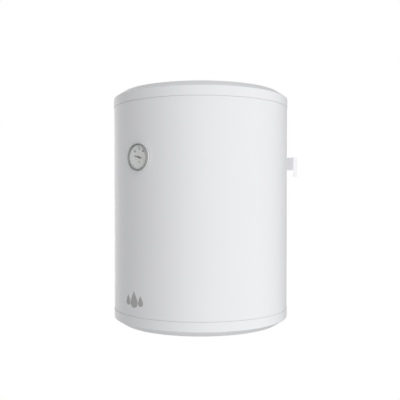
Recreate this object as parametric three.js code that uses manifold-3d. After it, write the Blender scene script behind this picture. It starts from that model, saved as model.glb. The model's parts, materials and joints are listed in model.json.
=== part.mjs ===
// A wall-hung electric storage water heater of about 50 litres: a white steel casing with a
// pressed cover at each end, a dial thermometer on its front, a hook plate on its back, and
// inside it the insulated tank with its flange, heating element, thermostat and wiring.
import * as THREE from "three";
import { mergeVertices } from "three/addons/utils/BufferGeometryUtils.js";
import Module from "manifold-3d";

const wasm = await Module();
wasm.setup();

// Driving dimensions in mm. The heater is drawn round its own vertical axis, with z = 0 at the
// underside of the bottom cover, its front towards -Y and the wall on its +Y side.
const totalHeight = 573.7;
const casingRadius = 219.5;
const sheet = 0.8; // painted steel sheet of the casing
const coverRadius = 220.2;
const coverWall = 1.5;
const coverHeight = 36.5; // rim to end face
const coverBand = 22.2; // straight part of that height
const shoulderInset = 21.9; // how far the sloped shoulder comes in
const lipLength = 10; // how far each cover's lip reaches into the casing
const lipWall = 1.2;
const wallPlane = 245; // distance from the axis to the wall
const hookHeight = 406.3; // middle of the hook plate
const tankRadius = 193;
const tankWall = 1.8;
const tankBottom = 125; // lower edge of the cylindrical shell
const tankTop = 493; // upper edge of the cylindrical shell
const domeDepth = 55;
const foamGap = 1.2; // between the tank and the foam, so that facets never meet
const gap = 0.3; // between neighbouring pieces
const sides = 48; // facets round the large shells
const inside = 32; // facets round the tank, the foam and the lid
const fine = 16; // facets round small turned pieces

// Hook plate: a web parallel to the wall with its top edge and both ends folded back towards it.
// The ends reach the wall and run down into legs, which keep the wall hooks from slipping out.
const hook = {
  halfWidth: 140, height: 34.6, thickness: 2.5, front: 227, topFold: 14, legDrop: 17.5, legCorner: 4,
};
const arm = { x: 60, below: 17, above: 13.5, web: 2.5, footWidth: 26, footThickness: 3, padWidth: 28 };
const spacer = { height: 110, halfWidth: 35, halfHeight: 15, screwX: 22, screwSeat: 226.5 };
const gauge = { height: 405, radius: 32.5, front: 227.5, hole: 28.5, back: 202 };
const gaugeRestAngle = 15; // the pointer's tip stands this far above the level, on the left
const flange = { radius: 67, neck: 47, top: 60.7, thickness: 5, boltCircle: 58, bolts: 6 };
const pipe = { x: 50, y: 80, radius: 10.4, bore: 7.5, end: -25 };
const lid = { y: -45, radius: 95, opening: 84, screwCircle: 89, top: -0.3, bottom: -2.5 };
const screwHead = 2.2; // height of every pan head
const knobPlace = { x: 0, y: -32 };
const resetPlace = { x: -43, y: -38 };
const lampPlace = { x: 45, y: -70 };
const glandPlace = { x: 105, y: 35 };
const pocketPlace = { x: 0, y: -24 };
const anodePlace = { x: 0, y: 30 };
const elementLeg = { x: 18, y: 8, radius: 4, bottom: 42, top: 250 };
const earthPlace = { x: 38, y: -14 };
const blockPlace = { x: 118, y: -20 };

const finishes = {
  whitePaint: { color: 0xe9eaec, roughness: 0.35, metalness: 0 },
  whitePlastic: { color: 0xdcdde0, roughness: 0.45, metalness: 0 },
  blackPlastic: { color: 0x202022, roughness: 0.5, metalness: 0 },
  clear: { color: 0xf4f6f6, roughness: 0.05, metalness: 0 },
  dialPaper: { color: 0xd8d9d8, roughness: 0.7, metalness: 0 },
  needleRed: { color: 0x5a1e1c, roughness: 0.5, metalness: 0 },
  chrome: { color: 0xbfc2c4, roughness: 0.15, metalness: 1 },
  zinc: { color: 0xb4b8ba, roughness: 0.4, metalness: 0.9 },
  steel: { color: 0x9a9da0, roughness: 0.35, metalness: 0.9 },
  enamel: { color: 0x26343f, roughness: 0.3, metalness: 0 },
  foam: { color: 0xe3cf8d, roughness: 0.95, metalness: 0 },
  rubber: { color: 0x1b1b1b, roughness: 0.9, metalness: 0 },
  copper: { color: 0xb87850, roughness: 0.35, metalness: 1 },
  brass: { color: 0xc8a860, roughness: 0.3, metalness: 1 },
  magnesium: { color: 0xa8a8a4, roughness: 0.6, metalness: 0.8 },
  blue: { color: 0x2458a8, roughness: 0.4, metalness: 0 },
  red: { color: 0xb02a26, roughness: 0.4, metalness: 0 },
  amber: { color: 0xd07820, roughness: 0.2, metalness: 0 },
  brown: { color: 0x6a3f26, roughness: 0.6, metalness: 0 },
  greenYellow: { color: 0x9aaa2e, roughness: 0.6, metalness: 0 },
};

const heater = new THREE.Group();
const hookBack = hook.front + hook.thickness;
heater.position.set(0, -hookBack, -hookHeight); // the origin is the middle of the hook plate's back

function add(name, geometry, finish) {
  const mesh = new THREE.Mesh(geometry, new THREE.MeshStandardMaterial(finishes[finish]));
  mesh.name = name;
  heater.add(mesh);
}

// Turned piece about the Z axis from [radius, z] points, counter-clockwise round the material.
function turned(points, facets = fine) {
  const profile = points.map(([radius, z]) => new THREE.Vector2(radius, z));
  return new THREE.LatheGeometry(profile, facets).rotateX(Math.PI / 2);
}

function closed(points) {
  return [...points, points[0]];
}

// The same about the gauge's axis: the second number is the distance towards the front.
function turnedFront(points, facets) {
  return turned(points, facets).rotateX(Math.PI / 2).translate(0, 0, gauge.height);
}

function rod(radius, bottom, top, x = 0, y = 0, facets = fine) {
  return turned([[0, bottom], [radius, bottom], [radius, top], [0, top]], facets).translate(x, y, 0);
}

function ring(inner, outer, bottom, top, x = 0, y = 0, facets = fine) {
  const outline = [[inner, bottom], [outer, bottom], [outer, top], [inner, top]];
  return turned(closed(outline), facets).translate(x, y, 0);
}

// Box from its lowest and highest corners.
function block([x0, y0, z0], [x1, y1, z1]) {
  const shape = new THREE.BoxGeometry(x1 - x0, y1 - y0, z1 - z0);
  return shape.translate((x0 + x1) / 2, (y0 + y1) / 2, (z0 + z1) / 2);
}

// Horizontal rod along Y.
function crossRod(radius, y0, y1, x, z, facets = fine) {
  return rod(radius, y0, y1, 0, 0, facets).rotateX(-Math.PI / 2).translate(x, 0, z);
}

function toSolid(geometry) {
  const bare = geometry.clone();
  bare.deleteAttribute("normal");
  bare.deleteAttribute("uv");
  const merged = mergeVertices(bare, 1e-4);
  const corners = merged.index.array;
  const kept = [];
  for (let i = 0; i < corners.length; i += 3) {
    const [a, b, c] = corners.slice(i, i + 3);
    if (a !== b && b !== c && c !== a) kept.push(a, b, c);
  }
  return new wasm.Manifold(
    new wasm.Mesh({
      numProp: 3,
      vertProperties: merged.attributes.position.array,
      triVerts: new Uint32Array(kept),
    }),
  );
}

function toGeometry(solid) {
  const mesh = solid.getMesh();
  const geometry = new THREE.BufferGeometry();
  geometry.setAttribute("position", new THREE.BufferAttribute(mesh.vertProperties, 3));
  geometry.setIndex(new THREE.BufferAttribute(mesh.triVerts, 1));
  geometry.computeVertexNormals();
  return geometry;
}

function cut(body, ...tools) {
  return toGeometry(tools.reduce((left, tool) => left.subtract(toSolid(tool)), toSolid(body)));
}

function join(body, ...others) {
  return toGeometry(others.reduce((left, other) => left.add(toSolid(other)), toSolid(body)));
}

// Round tube or solid wire along a smooth curve through the points.
function wire(points, radius, steps, facets = 8) {
  const places = points.map((place) => new THREE.Vector3(...place));
  const path = new THREE.CatmullRomCurve3(places, false, "centripetal");
  return swept(path, radius, steps, facets);
}

function swept(path, radius, steps, facets) {
  const section = new THREE.Shape();
  for (let i = 0; i < facets; i++) {
    const turn = (2 * Math.PI * i) / facets;
    const corner = [radius * Math.cos(turn), radius * Math.sin(turn)];
    if (i === 0) section.moveTo(...corner);
    else section.lineTo(...corner);
  }
  return new THREE.ExtrudeGeometry(section, { steps, extrudePath: path, bevelEnabled: false });
}

function hexagon(circumradius) {
  const outline = new THREE.Shape();
  for (let i = 0; i < 6; i++) {
    const turn = (Math.PI * i) / 3;
    const corner = [circumradius * Math.cos(turn), circumradius * Math.sin(turn)];
    if (i === 0) outline.moveTo(...corner);
    else outline.lineTo(...corner);
  }
  return outline;
}

function hexPrism(circumradius, bottom, top) {
  const shape = new THREE.ExtrudeGeometry(hexagon(circumradius), {
    depth: top - bottom,
    bevelEnabled: false,
  });
  return shape.translate(0, 0, bottom);
}

function onCircle(radius, degrees, y = 0) {
  const turn = THREE.MathUtils.degToRad(degrees);
  return [radius * Math.cos(turn), y + radius * Math.sin(turn)];
}

// Points of a quarter ellipse from the axis (or from startRadius) out to the full radius.
function domeLine(radius, depth, rimZ, direction, startRadius = 0, steps = 5) {
  const first = Math.asin(startRadius / radius);
  return Array.from({ length: steps + 1 }, (_, i) => {
    const turn = first + ((Math.PI / 2 - first) * i) / steps;
    return [radius * Math.sin(turn), rimZ + direction * depth * Math.cos(turn)];
  });
}

// Outer shells.

const rimTop = totalHeight - coverHeight;
const boltAngles = Array.from({ length: flange.bolts }, (_, i) => (360 / flange.bolts) * i);
const lidScrews = [90, 210, 330].map((angle) => onCircle(lid.screwCircle, angle, lid.y));

// Half section of a cover with its end face at z = 0 and its rim at z = -coverHeight. Its band is
// nearly flush with the casing, and a thinner lip below the rim slides into the casing.
function coverSection() {
  const outerShoulder = coverRadius - shoulderInset;
  const bandInner = coverRadius - coverWall;
  const lipOuter = casingRadius - sheet - gap;
  const lipInner = lipOuter - lipWall;
  const bandEnd = coverBand - coverHeight;
  const lipEnd = -coverHeight - lipLength;
  return [
    [0, -coverWall],
    [outerShoulder - 1, -coverWall],
    [bandInner, bandEnd - 1],
    [bandInner, 5 - coverHeight],
    [lipInner, 3 - coverHeight],
    [lipInner, lipEnd],
    [lipOuter, lipEnd],
    [lipOuter, -coverHeight],
    [coverRadius, -coverHeight],
    [coverRadius, bandEnd - 0.8],
    [coverRadius - 0.8, bandEnd + 0.8],
    [outerShoulder + 2, -0.8],
    [outerShoulder, 0],
    [0, 0],
  ];
}

function topCover() {
  return turned(coverSection(), sides).translate(0, 0, totalHeight);
}

function bottomCover() {
  const shell = turned(coverSection(), sides).rotateX(Math.PI);
  const bosses = lidScrews.map(([x, y]) => rod(5, coverWall - 0.5, 14, x, y));
  const opening = rod(lid.opening, -1, coverWall + 1, 0, lid.y, inside);
  const cutter = cut(opening, ...lidScrews.map(([x, y]) => rod(6, -2, 4, x, y)));
  const pipeHoles = [-pipe.x, pipe.x].map((x) => rod(14, -1, 4, x, pipe.y));
  const screwHoles = lidScrews.map(([x, y]) => rod(2.2, -1, 12, x, y, 16));
  const glandHole = rod(10, -1, 4, glandPlace.x, glandPlace.y);
  return cut(join(shell, ...bosses), cutter, ...pipeHoles, ...screwHoles, glandHole);
}

function casing() {
  const bottom = coverHeight + gap;
  const top = rimTop - gap;
  const tube = ring(casingRadius - sheet, casingRadius, bottom, top, 0, 0, sides);
  const seam = block([-7, 218.9, coverHeight + 1.5], [7, 220.3, rimTop - 1.5]);
  const gaugeHole = crossRod(gauge.hole, -230, -200, 0, gauge.height, 32);
  const armSlots = [-arm.x, arm.x].map((x) =>
    block([x - 3, 190, hookHeight - 20], [x + 3, 225, hookHeight + 20]),
  );
  const screwHoles = [-spacer.screwX, spacer.screwX].map((x) =>
    crossRod(2.2, 205, 225, x, spacer.height, 16),
  );
  return cut(join(tube, seam), gaugeHole, ...armSlots, ...screwHoles);
}

function serviceLid() {
  const plate = turned(
    [[0, lid.bottom], [lid.radius - 1.2, lid.bottom], [lid.radius, lid.bottom + 1.2],
      [lid.radius, lid.top], [0, lid.top]],
    inside,
  ).translate(0, lid.y, 0);
  const holes = [
    rod(5, -4, 1, knobPlace.x, knobPlace.y),
    rod(4.8, -4, 1, resetPlace.x, resetPlace.y),
    rod(4.9, -4, 1, lampPlace.x, lampPlace.y),
    ...lidScrews.map(([x, y]) => rod(2.4, -4, 1, x, y, 16)),
  ];
  return cut(plate, ...holes);
}

// Screw with its head at z = 0 and its shank upwards.
function panScrew(shank, head, length) {
  return turned(
    [[0, 0], [head - 0.8, 0], [head, 1], [head, screwHead], [shank, screwHead], [shank, length], [0, length]],
    12,
  );
}

add("casing", casing(), "whitePaint");
add("top_cover", topCover(), "whitePaint");
add("bottom_cover", bottomCover(), "whitePaint");
add("service_lid", serviceLid(), "whitePlastic");
lidScrews.forEach(([x, y], i) => {
  const seat = lid.bottom - gap - screwHead;
  add(`lid_screw_${i + 1}`, panScrew(1.8, 4.2, 14).translate(x, y, seat), "zinc");
});

// Hanging ironwork.

function hookPlate() {
  const { halfWidth, thickness, front, topFold, legDrop, legCorner } = hook;
  const low = hookHeight - hook.height / 2;
  const top = hookHeight + hook.height / 2;
  const foot = low - legDrop;
  const web = block([-halfWidth, front, low], [halfWidth, hookBack, top]);
  const fold = block([-halfWidth, front, top - thickness], [halfWidth, front + topFold, top]);
  const side = new THREE.Shape();
  side.moveTo(front, top);
  side.lineTo(front, foot + legCorner);
  side.lineTo(front + legCorner, foot);
  side.lineTo(wallPlane - legCorner, foot);
  side.lineTo(wallPlane, foot + legCorner);
  side.lineTo(wallPlane, top);
  const ends = [-halfWidth, halfWidth - thickness].map((x) =>
    new THREE.ExtrudeGeometry(side, { depth: thickness, bevelEnabled: false })
      .rotateX(Math.PI / 2)
      .rotateZ(Math.PI / 2)
      .translate(x, 0, 0),
  );
  return join(web, fold, ...ends);
}

// Arm of folded strip: a curved foot on the tank, a web through the insulation and the casing,
// and a pad against the front of the hook plate.
function hangerArm(side) {
  const low = hookHeight - arm.below;
  const high = hookHeight + arm.above;
  const back = hook.front - gap;
  const x = side * arm.x;
  const footInner = tankRadius + gap + 0.1;
  const footRing = ring(footInner, footInner + arm.footThickness, low, high, 0, 0, 180);
  const half = arm.footWidth / 2;
  const footArea = block([x - half, 150, low - 1], [x + half, 200, high + 1]);
  const foot = toSolid(footRing).intersect(toSolid(footArea));
  const web = block([x - arm.web / 2, 185.5, low], [x + arm.web / 2, back, high]);
  const pad = block([x - arm.padWidth / 2, back - arm.web, low], [x + arm.padWidth / 2, back, high]);
  return toGeometry(foot.add(toSolid(web)).add(toSolid(pad)));
}

// Moulded block that holds the lower back off the wall, hollowed to the casing's curve.
function lowerSpacer() {
  const { height, halfWidth, halfHeight, screwX } = spacer;
  const low = height - halfHeight;
  const high = height + halfHeight;
  const body = block([-halfWidth, 208, low], [halfWidth, wallPlane, high]);
  const curve = rod(casingRadius + 2 * gap, low - 1, high + 1, 0, 0, sides);
  const seamGroove = block([-9, 200, low - 1], [9, 222, high + 1]);
  const holes = [-screwX, screwX].flatMap((x) => [
    crossRod(2.3, 200, wallPlane + 1, x, height, 16),
    crossRod(6, 224, wallPlane + 1, x, height),
  ]);
  return cut(body, curve, seamGroove, ...holes);
}

add("hook_plate", hookPlate(), "zinc");
add("hanger_arm_left", hangerArm(-1), "zinc");
add("hanger_arm_right", hangerArm(1), "zinc");
add("lower_spacer", lowerSpacer(), "whitePlastic");
[-spacer.screwX, spacer.screwX].forEach((x, i) => {
  const screw = panScrew(1.8, 4.4, 22).rotateX(Math.PI / 2);
  screw.translate(x, spacer.screwSeat, spacer.height);
  add(`spacer_screw_${i + 1}`, screw, "zinc");
});

// Dial thermometer.

function gaugeBezel() {
  const { radius, front } = gauge;
  const profile = [
    [28.5, 212], [radius, 212], [radius, front - 2.2], [radius - 1.2, front - 0.5],
    [radius - 2.5, front], [25.8, front - 1.6], [25.8, front - 3], [28.5, front - 3],
  ];
  const casingSpace = rod(casingRadius + gap, 350, 460, 0, 0, sides);
  return cut(turnedFront(closed(profile), 40), casingSpace);
}

function gaugeHousing() {
  const { back, front } = gauge;
  const rim = front - 5;
  const profile = [
    [0, back], [27.6, back], [27.6, rim], [26.2, rim], [26.2, back + 1.5], [3, back + 1.5],
    [3, back + 5.5], [1.15, back + 5.5], [1.15, back + 1], [0, back + 1],
  ];
  const leadHole = crossRod(1.7, -210, -195, 10, gauge.height - 8, 12);
  return cut(turnedFront(profile, 32), leadHole);
}

// Arbor, hub and pointer in one piece; the pointer's long end is its tip.
function gaugeNeedle() {
  const { back, front } = gauge;
  const bar = front - 7;
  const arbor = turnedFront(
    [[0, back + 1.6], [0.8, back + 1.6], [0.8, bar], [2.4, bar], [2.4, bar + 1.2], [0, bar + 1.2]],
    16,
  );
  const pointer = new THREE.Shape();
  pointer.moveTo(9, 1.1);
  pointer.lineTo(-9, 1.1);
  pointer.lineTo(-15, 0.3);
  pointer.lineTo(-15, -0.3);
  pointer.lineTo(-9, -1.1);
  pointer.lineTo(9, -1.1);
  const blade = new THREE.ExtrudeGeometry(pointer, { depth: 0.7, bevelEnabled: false })
    .rotateZ(THREE.MathUtils.degToRad(-gaugeRestAngle))
    .rotateX(Math.PI / 2)
    .translate(0, -bar, gauge.height);
  return join(arbor, blade);
}

function gaugeDial() {
  const face = gauge.front - 8.5;
  const section = [[1.3, face - 1], [25.8, face - 1], [25.8, face], [1.3, face]];
  return turnedFront(closed(section), 40);
}

add("gauge_housing", gaugeHousing(), "blackPlastic");
add("gauge_bezel", gaugeBezel(), "chrome");
add("gauge_dial", gaugeDial(), "dialPaper");
add("gauge_needle", gaugeNeedle(), "needleRed");
const lensBack = gauge.front - 4.7;
const lens = [[0, lensBack], [28.1, lensBack], [28.1, lensBack + 1.3], [0, lensBack + 1.3]];
add("gauge_lens", turnedFront(lens, 40), "clear");

const bulb = { y: -198.3, bottom: 290, top: 350, radius: 3 };
const leadPoints = [
  [10, -205, 397], [10, -202, 397], [10, -199.2, 395], [8, -198.6, 388], [3, -198.4, 372],
  [0, bulb.y, 360], [0, bulb.y, bulb.top + gap],
];
add("gauge_capillary", wire(leadPoints, 0.9, 24, 6), "copper");
add("gauge_bulb", rod(bulb.radius, bulb.bottom, bulb.top, 0, bulb.y, 16), "copper");

// Tank and insulation.

const innerRadius = tankRadius - tankWall;
const innerDepth = domeDepth - tankWall;
const portAngles = [-pipe.x, pipe.x];

function upperDome() {
  const rim = tankTop + gap;
  const inner = domeLine(innerRadius, innerDepth, rim, 1);
  const outer = domeLine(tankRadius, domeDepth, rim, 1).reverse();
  return turned([...inner, ...outer], inside);
}

// The lower dome carries the thick ring that the flange bolts to, and the two pipe ports.
function lowerDome() {
  const rim = tankBottom - gap;
  const neckFace = flange.top + 3.3;
  const outer = domeLine(tankRadius, domeDepth, rim, -1, flange.radius + 1);
  const inner = domeLine(innerRadius, innerDepth, rim, -1, flange.neck).reverse();
  const section = [[flange.neck, neckFace], [flange.radius + 1, neckFace], ...outer, ...inner];
  const ports = portAngles.map((x) => rod(pipe.radius + gap, 60, 130, x, pipe.y));
  const threads = boltAngles.map((angle) =>
    rod(4.3, neckFace - 1, 71, ...onCircle(flange.boltCircle, angle), 12),
  );
  return cut(turned(closed(section), inside), ...ports, ...threads);
}

// Foam between the tank and the casing: open round the flange, with room for whatever crosses it.
function foam() {
  const outer = casingRadius - sheet - gap - lipWall - foamGap;
  const low = flange.top + 1.5;
  const room = tankRadius + foamGap;
  const neck = flange.radius + 4;
  const shoulder = coverRadius - shoulderInset - 2;
  const under = domeLine(room, domeDepth, tankBottom - foamGap, -1, neck);
  const over = domeLine(room, domeDepth + foamGap, tankTop + foamGap, 1).reverse();
  const section = [
    [neck, low], [outer, low], [outer, totalHeight - 19], [shoulder, totalHeight - 4],
    [0, totalHeight - 4], ...over.reverse(), ...under.reverse(),
  ];
  const pipes = portAngles.map((x) => rod(pipe.radius + 0.6, 50, 130, x, pipe.y));
  const gaugeRoom = crossRod(28.9, -230, -201, 0, gauge.height, 32);
  const leadRoom = block([-8, -203.5, 284], [13, -185, 412]);
  const arms = [-arm.x, arm.x].flatMap((x) => [
    block([x - 3, 180, hookHeight - 19], [x + 3, 225, hookHeight + 15]),
    block([x - 14, 170, hookHeight - 19], [x + 14, 197.2, hookHeight + 15]),
  ]);
  const screws = [-spacer.screwX, spacer.screwX].map((x) =>
    crossRod(2.6, 200, 225, x, spacer.height, 12),
  );
  return cut(turned(closed(section), inside), ...pipes, gaugeRoom, leadRoom, ...arms, ...screws);
}

add("tank_shell", ring(innerRadius, tankRadius, tankBottom, tankTop, 0, 0, inside), "enamel");
add("tank_dome_top", upperDome(), "enamel");
add("tank_dome_bottom", lowerDome(), "enamel");
add("foam_insulation", foam(), "foam");

// Flange with what it carries.

const plateBottom = flange.top - flange.thickness;

function boltHoles(radius) {
  return boltAngles.map((angle) =>
    rod(radius, 50, 70, ...onCircle(flange.boltCircle, angle), 12),
  );
}

function flangePlate() {
  const legs = [-elementLeg.x, elementLeg.x].map((x) =>
    rod(elementLeg.radius + gap, 50, 70, x, elementLeg.y, 16),
  );
  const pocketHole = rod(7.3, 50, 70, pocketPlace.x, pocketPlace.y);
  const anodeHole = rod(3.4, 50, 70, anodePlace.x, anodePlace.y, 16);
  const earthHole = rod(2.8, 50, plateBottom + 4, earthPlace.x, earthPlace.y, 12);
  const plate = rod(flange.radius, plateBottom, flange.top, 0, 0, 32);
  return cut(plate, ...boltHoles(4.4), ...legs, pocketHole, anodeHole, earthHole);
}

function hexBolt(circumradius, shank, headHeight, length) {
  return join(hexPrism(circumradius, 0, headHeight), rod(shank, headHeight - 1, length, 0, 0, 12));
}

function heatingElement() {
  const { x, y, bottom, top } = elementLeg;
  const route = new THREE.CurvePath();
  const corner = (side, z) => new THREE.Vector3(side * x, y, z);
  const bend = Array.from({ length: 13 }, (_, i) => {
    const turn = Math.PI - (Math.PI * i) / 12;
    return new THREE.Vector3(x * Math.cos(turn), y, top + x * Math.sin(turn));
  });
  route.add(new THREE.LineCurve3(corner(-1, bottom), corner(-1, top)));
  bend.slice(1).forEach((point, i) => route.add(new THREE.LineCurve3(bend[i], point)));
  route.add(new THREE.LineCurve3(corner(1, top), corner(1, bottom)));
  return swept(route, elementLeg.radius, 40, 8);
}

function pocket() {
  const { x, y } = pocketPlace;
  return turned([[0, 288.5], [5.6, 288.5], [5.6, 52.5], [7, 52.5], [7, 289], [6, 290], [0, 290]], 16)
    .translate(x, y, 0);
}

function anode() {
  const { x, y } = anodePlace;
  const low = flange.top + 0.5;
  return turned([[0, 47], [3, 47], [3, low], [11, low], [11, 328], [9, 330], [0, 330]], 16)
    .translate(x, y, 0);
}

function terminalPost() {
  return turned([[0, 30], [2, 30], [2, 34], [4, 34], [4, 37], [2, 37], [2, 41.7], [0, 41.7]], 12);
}

function flangeGasket() {
  const body = ring(flange.neck + 1, flange.radius, flange.top + gap, flange.top + 3, 0, 0, inside);
  return cut(body, ...boltHoles(4.5));
}

add("flange_plate", flangePlate(), "steel");
add("flange_gasket", flangeGasket(), "rubber");
boltAngles.forEach((angle, i) => {
  const head = 5.2;
  const [x, y] = onCircle(flange.boltCircle, angle);
  const bolt = hexBolt(7.5, 4, head, 20.2).translate(x, y, plateBottom - gap - head);
  add(`flange_bolt_${i + 1}`, bolt, "zinc");
});
add("heating_element", heatingElement(), "copper");
[-1, 1].forEach((side, i) => {
  const post = terminalPost().translate(side * elementLeg.x, elementLeg.y, 0);
  add(`element_terminal_${i + 1}`, post, "brass");
});
add("thermostat_pocket", pocket(), "steel");
add("anode_rod", anode(), "magnesium");
const anodeNut = cut(hexPrism(6, 51, 55.3), rod(3.3, 45, 60, 0, 0, 12));
add("anode_nut", anodeNut.translate(anodePlace.x, anodePlace.y, 0), "zinc");
const earthBolt = hexBolt(4.8, 2.4, 4, 7.6).translate(earthPlace.x, earthPlace.y, plateBottom - gap - 4);
add("earth_bolt", earthBolt, "brass");

// Water pipes.

function waterPipe(top) {
  const { radius, bore, end } = pipe;
  return turned(closed([[bore, end], [radius - 1, end], [radius, end + 1], [radius, top], [bore, top]]));
}

function diffuser() {
  const cap = turned([[0, 116], [10.8, 116], [10.8, 90], [13, 90], [13, 117], [12, 118], [0, 118]]);
  const windows = [block([-20, -4, 103], [20, 4, 113]), block([-4, -20, 103], [4, 20, 113])];
  return cut(cap, ...windows);
}

function pipeCollar() {
  return turned(closed([
    [10.9, -3], [18, -3], [19, -2.2], [19, -gap], [13.6, -gap], [13.6, 3.5], [10.9, 3.5],
  ]));
}

add("cold_inlet_pipe", waterPipe(100).translate(pipe.x, pipe.y, 0), "steel");
add("cold_diffuser", diffuser().translate(pipe.x, pipe.y, 0), "whitePlastic");
add("hot_outlet_pipe", waterPipe(520).translate(-pipe.x, pipe.y, 0), "steel");
add("cold_collar", pipeCollar().translate(pipe.x, pipe.y, 0), "blue");
add("hot_collar", pipeCollar().translate(-pipe.x, pipe.y, 0), "red");

// Controls.

const control = { low: 22, high: 49.5 };

function thermostatBody() {
  const { x, y } = knobPlace;
  const body = block([x - 25, y - 22, control.low], [x + 25, y + 22, control.high]);
  const neck = rod(6, control.low - 5, control.low + 1, x, y);
  const socket = rod(3.4, control.low - 8, control.low + 6, x, y);
  return cut(join(body, neck), socket);
}

function knob() {
  const grip = turned(
    [[0, -15], [15, -15], [17, -13.5], [19, -4.5], [19, -3.2], [3.3, -3.2], [3.3, -12.4], [0, -12.4]],
    36,
  );
  const pointer = block([-1, -17.5, -16], [1, -6, -14]);
  return cut(grip, pointer).translate(knobPlace.x, knobPlace.y, 0);
}

function cutoutBody() {
  const { x, y } = resetPlace;
  const body = block([x - 16.5, y - 16, 26], [x + 16.5, y + 16, control.high]);
  return cut(body, rod(4.8, 20, 33, x, y));
}

function resetButton() {
  const { x, y } = resetPlace;
  return turned([[0, -6], [3.2, -6], [4, -5.2], [4, 0.6], [6, 0.6], [6, 2.2], [4, 2.2], [4, 28], [0, 28]])
    .translate(x, y, 0);
}

function lampLens() {
  return turned([[0, -6.4], [3, -6], [5.4, -4.6], [6.5, -2.8], [4.5, -2.8], [4.5, 1], [0, 1]]);
}

function terminalBlock() {
  const { x, y } = blockPlace;
  const body = block([x - 16, y - 18, coverWall + gap], [x + 16, y + 18, 20]);
  const bays = [-12, 0, 12].map((offset) =>
    block([x - 13, y + offset - 4, 14], [x + 13, y + offset + 4, 22]),
  );
  return cut(body, ...bays);
}

function cableGland() {
  return turned(closed([
    [4.5, -18], [7, -18], [9, -15], [9, -8], [12, -8], [12, -gap], [9.6, -gap], [9.6, 12], [4.5, 12],
  ]));
}

add("thermostat_body", thermostatBody(), "blackPlastic");
add("thermostat_probe", rod(4.5, control.high + gap, 280, pocketPlace.x, pocketPlace.y, 12), "copper");
add("thermostat_shaft", rod(3, -12, control.low + 4, knobPlace.x, knobPlace.y, 16), "steel");
add("thermostat_knob", knob(), "whitePlastic");
add("cutout_body", cutoutBody(), "blackPlastic");
add("reset_button", resetButton(), "red");
add("pilot_lens", lampLens().translate(lampPlace.x, lampPlace.y, 0), "amber");
add("pilot_lamp", rod(5.4, 1.3, 16, lampPlace.x, lampPlace.y, 16), "blackPlastic");
add("terminal_block", terminalBlock(), "whitePlastic");
add("cable_gland", cableGland().translate(glandPlace.x, glandPlace.y, 0), "blackPlastic");
const glandNut = cut(hexPrism(14, coverWall + gap, 7.3), rod(9.9, 0, 10));
add("gland_nut", glandNut.translate(glandPlace.x, glandPlace.y, 0), "blackPlastic");

// Inner wiring.

const leads = {
  wire_live: ["brown", [[100.6, -8, 16], [84, 4, 12], [50, 8, 13], [0, 2, 14], [-40, -4, 16],
    [-64, -14, 24], [-67, -30, 35], [-65, -37.5, 38], [-60.6, -38, 38]]],
  wire_neutral: ["blue", [[100.6, -20, 16], [86, -20, 14], [66, -24, 20], [44, -29, 32], [26.2, -30, 35]]],
  wire_earth: ["greenYellow", [[100.6, -32, 16], [88, -35, 18], [70, -36, 28], [50, -25, 37],
    [39.5, -15.5, 43], [38, -14, 50.5]]],
  wire_element_live: ["brown", [[-46, -21, 38], [-45, -12, 37], [-36, 3, 33], [-26, 8, 32], [-20.5, 8, 32]]],
  wire_element_neutral: ["blue", [[26.5, -16, 30], [31, -13, 30], [31, 0, 31], [26, 7, 32], [20.5, 8, 32]]],
};
for (const [name, [finish, points]] of Object.entries(leads)) {
  add(name, wire(points, 1.5, 18), finish);
}

export default heater;
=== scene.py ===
import json
import math
import bpy
import bmesh
from mathutils import Matrix, Vector


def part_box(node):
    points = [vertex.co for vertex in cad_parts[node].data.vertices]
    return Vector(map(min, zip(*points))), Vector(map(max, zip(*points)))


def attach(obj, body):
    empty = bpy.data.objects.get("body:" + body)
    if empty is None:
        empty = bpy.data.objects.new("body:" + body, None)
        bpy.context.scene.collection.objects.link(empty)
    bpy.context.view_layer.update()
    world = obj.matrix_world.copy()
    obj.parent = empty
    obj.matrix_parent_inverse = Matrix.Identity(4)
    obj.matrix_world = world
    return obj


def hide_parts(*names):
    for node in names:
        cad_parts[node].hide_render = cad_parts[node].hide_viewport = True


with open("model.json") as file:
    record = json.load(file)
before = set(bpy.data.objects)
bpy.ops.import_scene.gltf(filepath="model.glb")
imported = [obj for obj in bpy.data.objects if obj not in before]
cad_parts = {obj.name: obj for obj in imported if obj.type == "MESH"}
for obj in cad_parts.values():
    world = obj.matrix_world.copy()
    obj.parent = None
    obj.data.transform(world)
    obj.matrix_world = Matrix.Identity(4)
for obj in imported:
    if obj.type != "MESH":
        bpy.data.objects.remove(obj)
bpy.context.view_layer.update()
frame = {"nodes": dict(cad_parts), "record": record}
scene = bpy.context.scene
mm = 0.001

# Places read off the frame: the heater's own axis, its underside and its size.
coverLow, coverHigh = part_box("bottom_cover")
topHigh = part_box("top_cover")[1]
axisX = (coverLow[0] + coverHigh[0]) / 2
axisY = (coverLow[1] + coverHigh[1]) / 2
floorZ = coverLow[2]  # underside of the bottom cover
coverRadius = (coverHigh[0] - coverLow[0]) / 2 / mm
totalHeight = (topHigh[2] - coverLow[2]) / mm
heaterPlace = Matrix.Translation((axisX, axisY, floorZ))


def local(node):
    # lowest and highest corner of a node in mm round the heater's own axis
    low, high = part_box(node)
    origin = (axisX, axisY, floorZ)
    return ([(a - o) / mm for a, o in zip(low, origin)], [(a - o) / mm for a, o in zip(high, origin)])


def centre(node):
    low, high = local(node)
    return [(a + b) / 2 for a, b in zip(low, high)]


# Camera.

view = {
    "azimuth": 40.0,
    "distance": 1507.0,  # from the heater's axis, mm
    "eye": 304.0,  # above the underside, mm
    "lens": 52.65,
    "sensor": 36.0,
    "shiftX": -0.0016,
    "shiftY": 0.0328,
    "pitch": -1.15,  # looking slightly down
}


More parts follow.
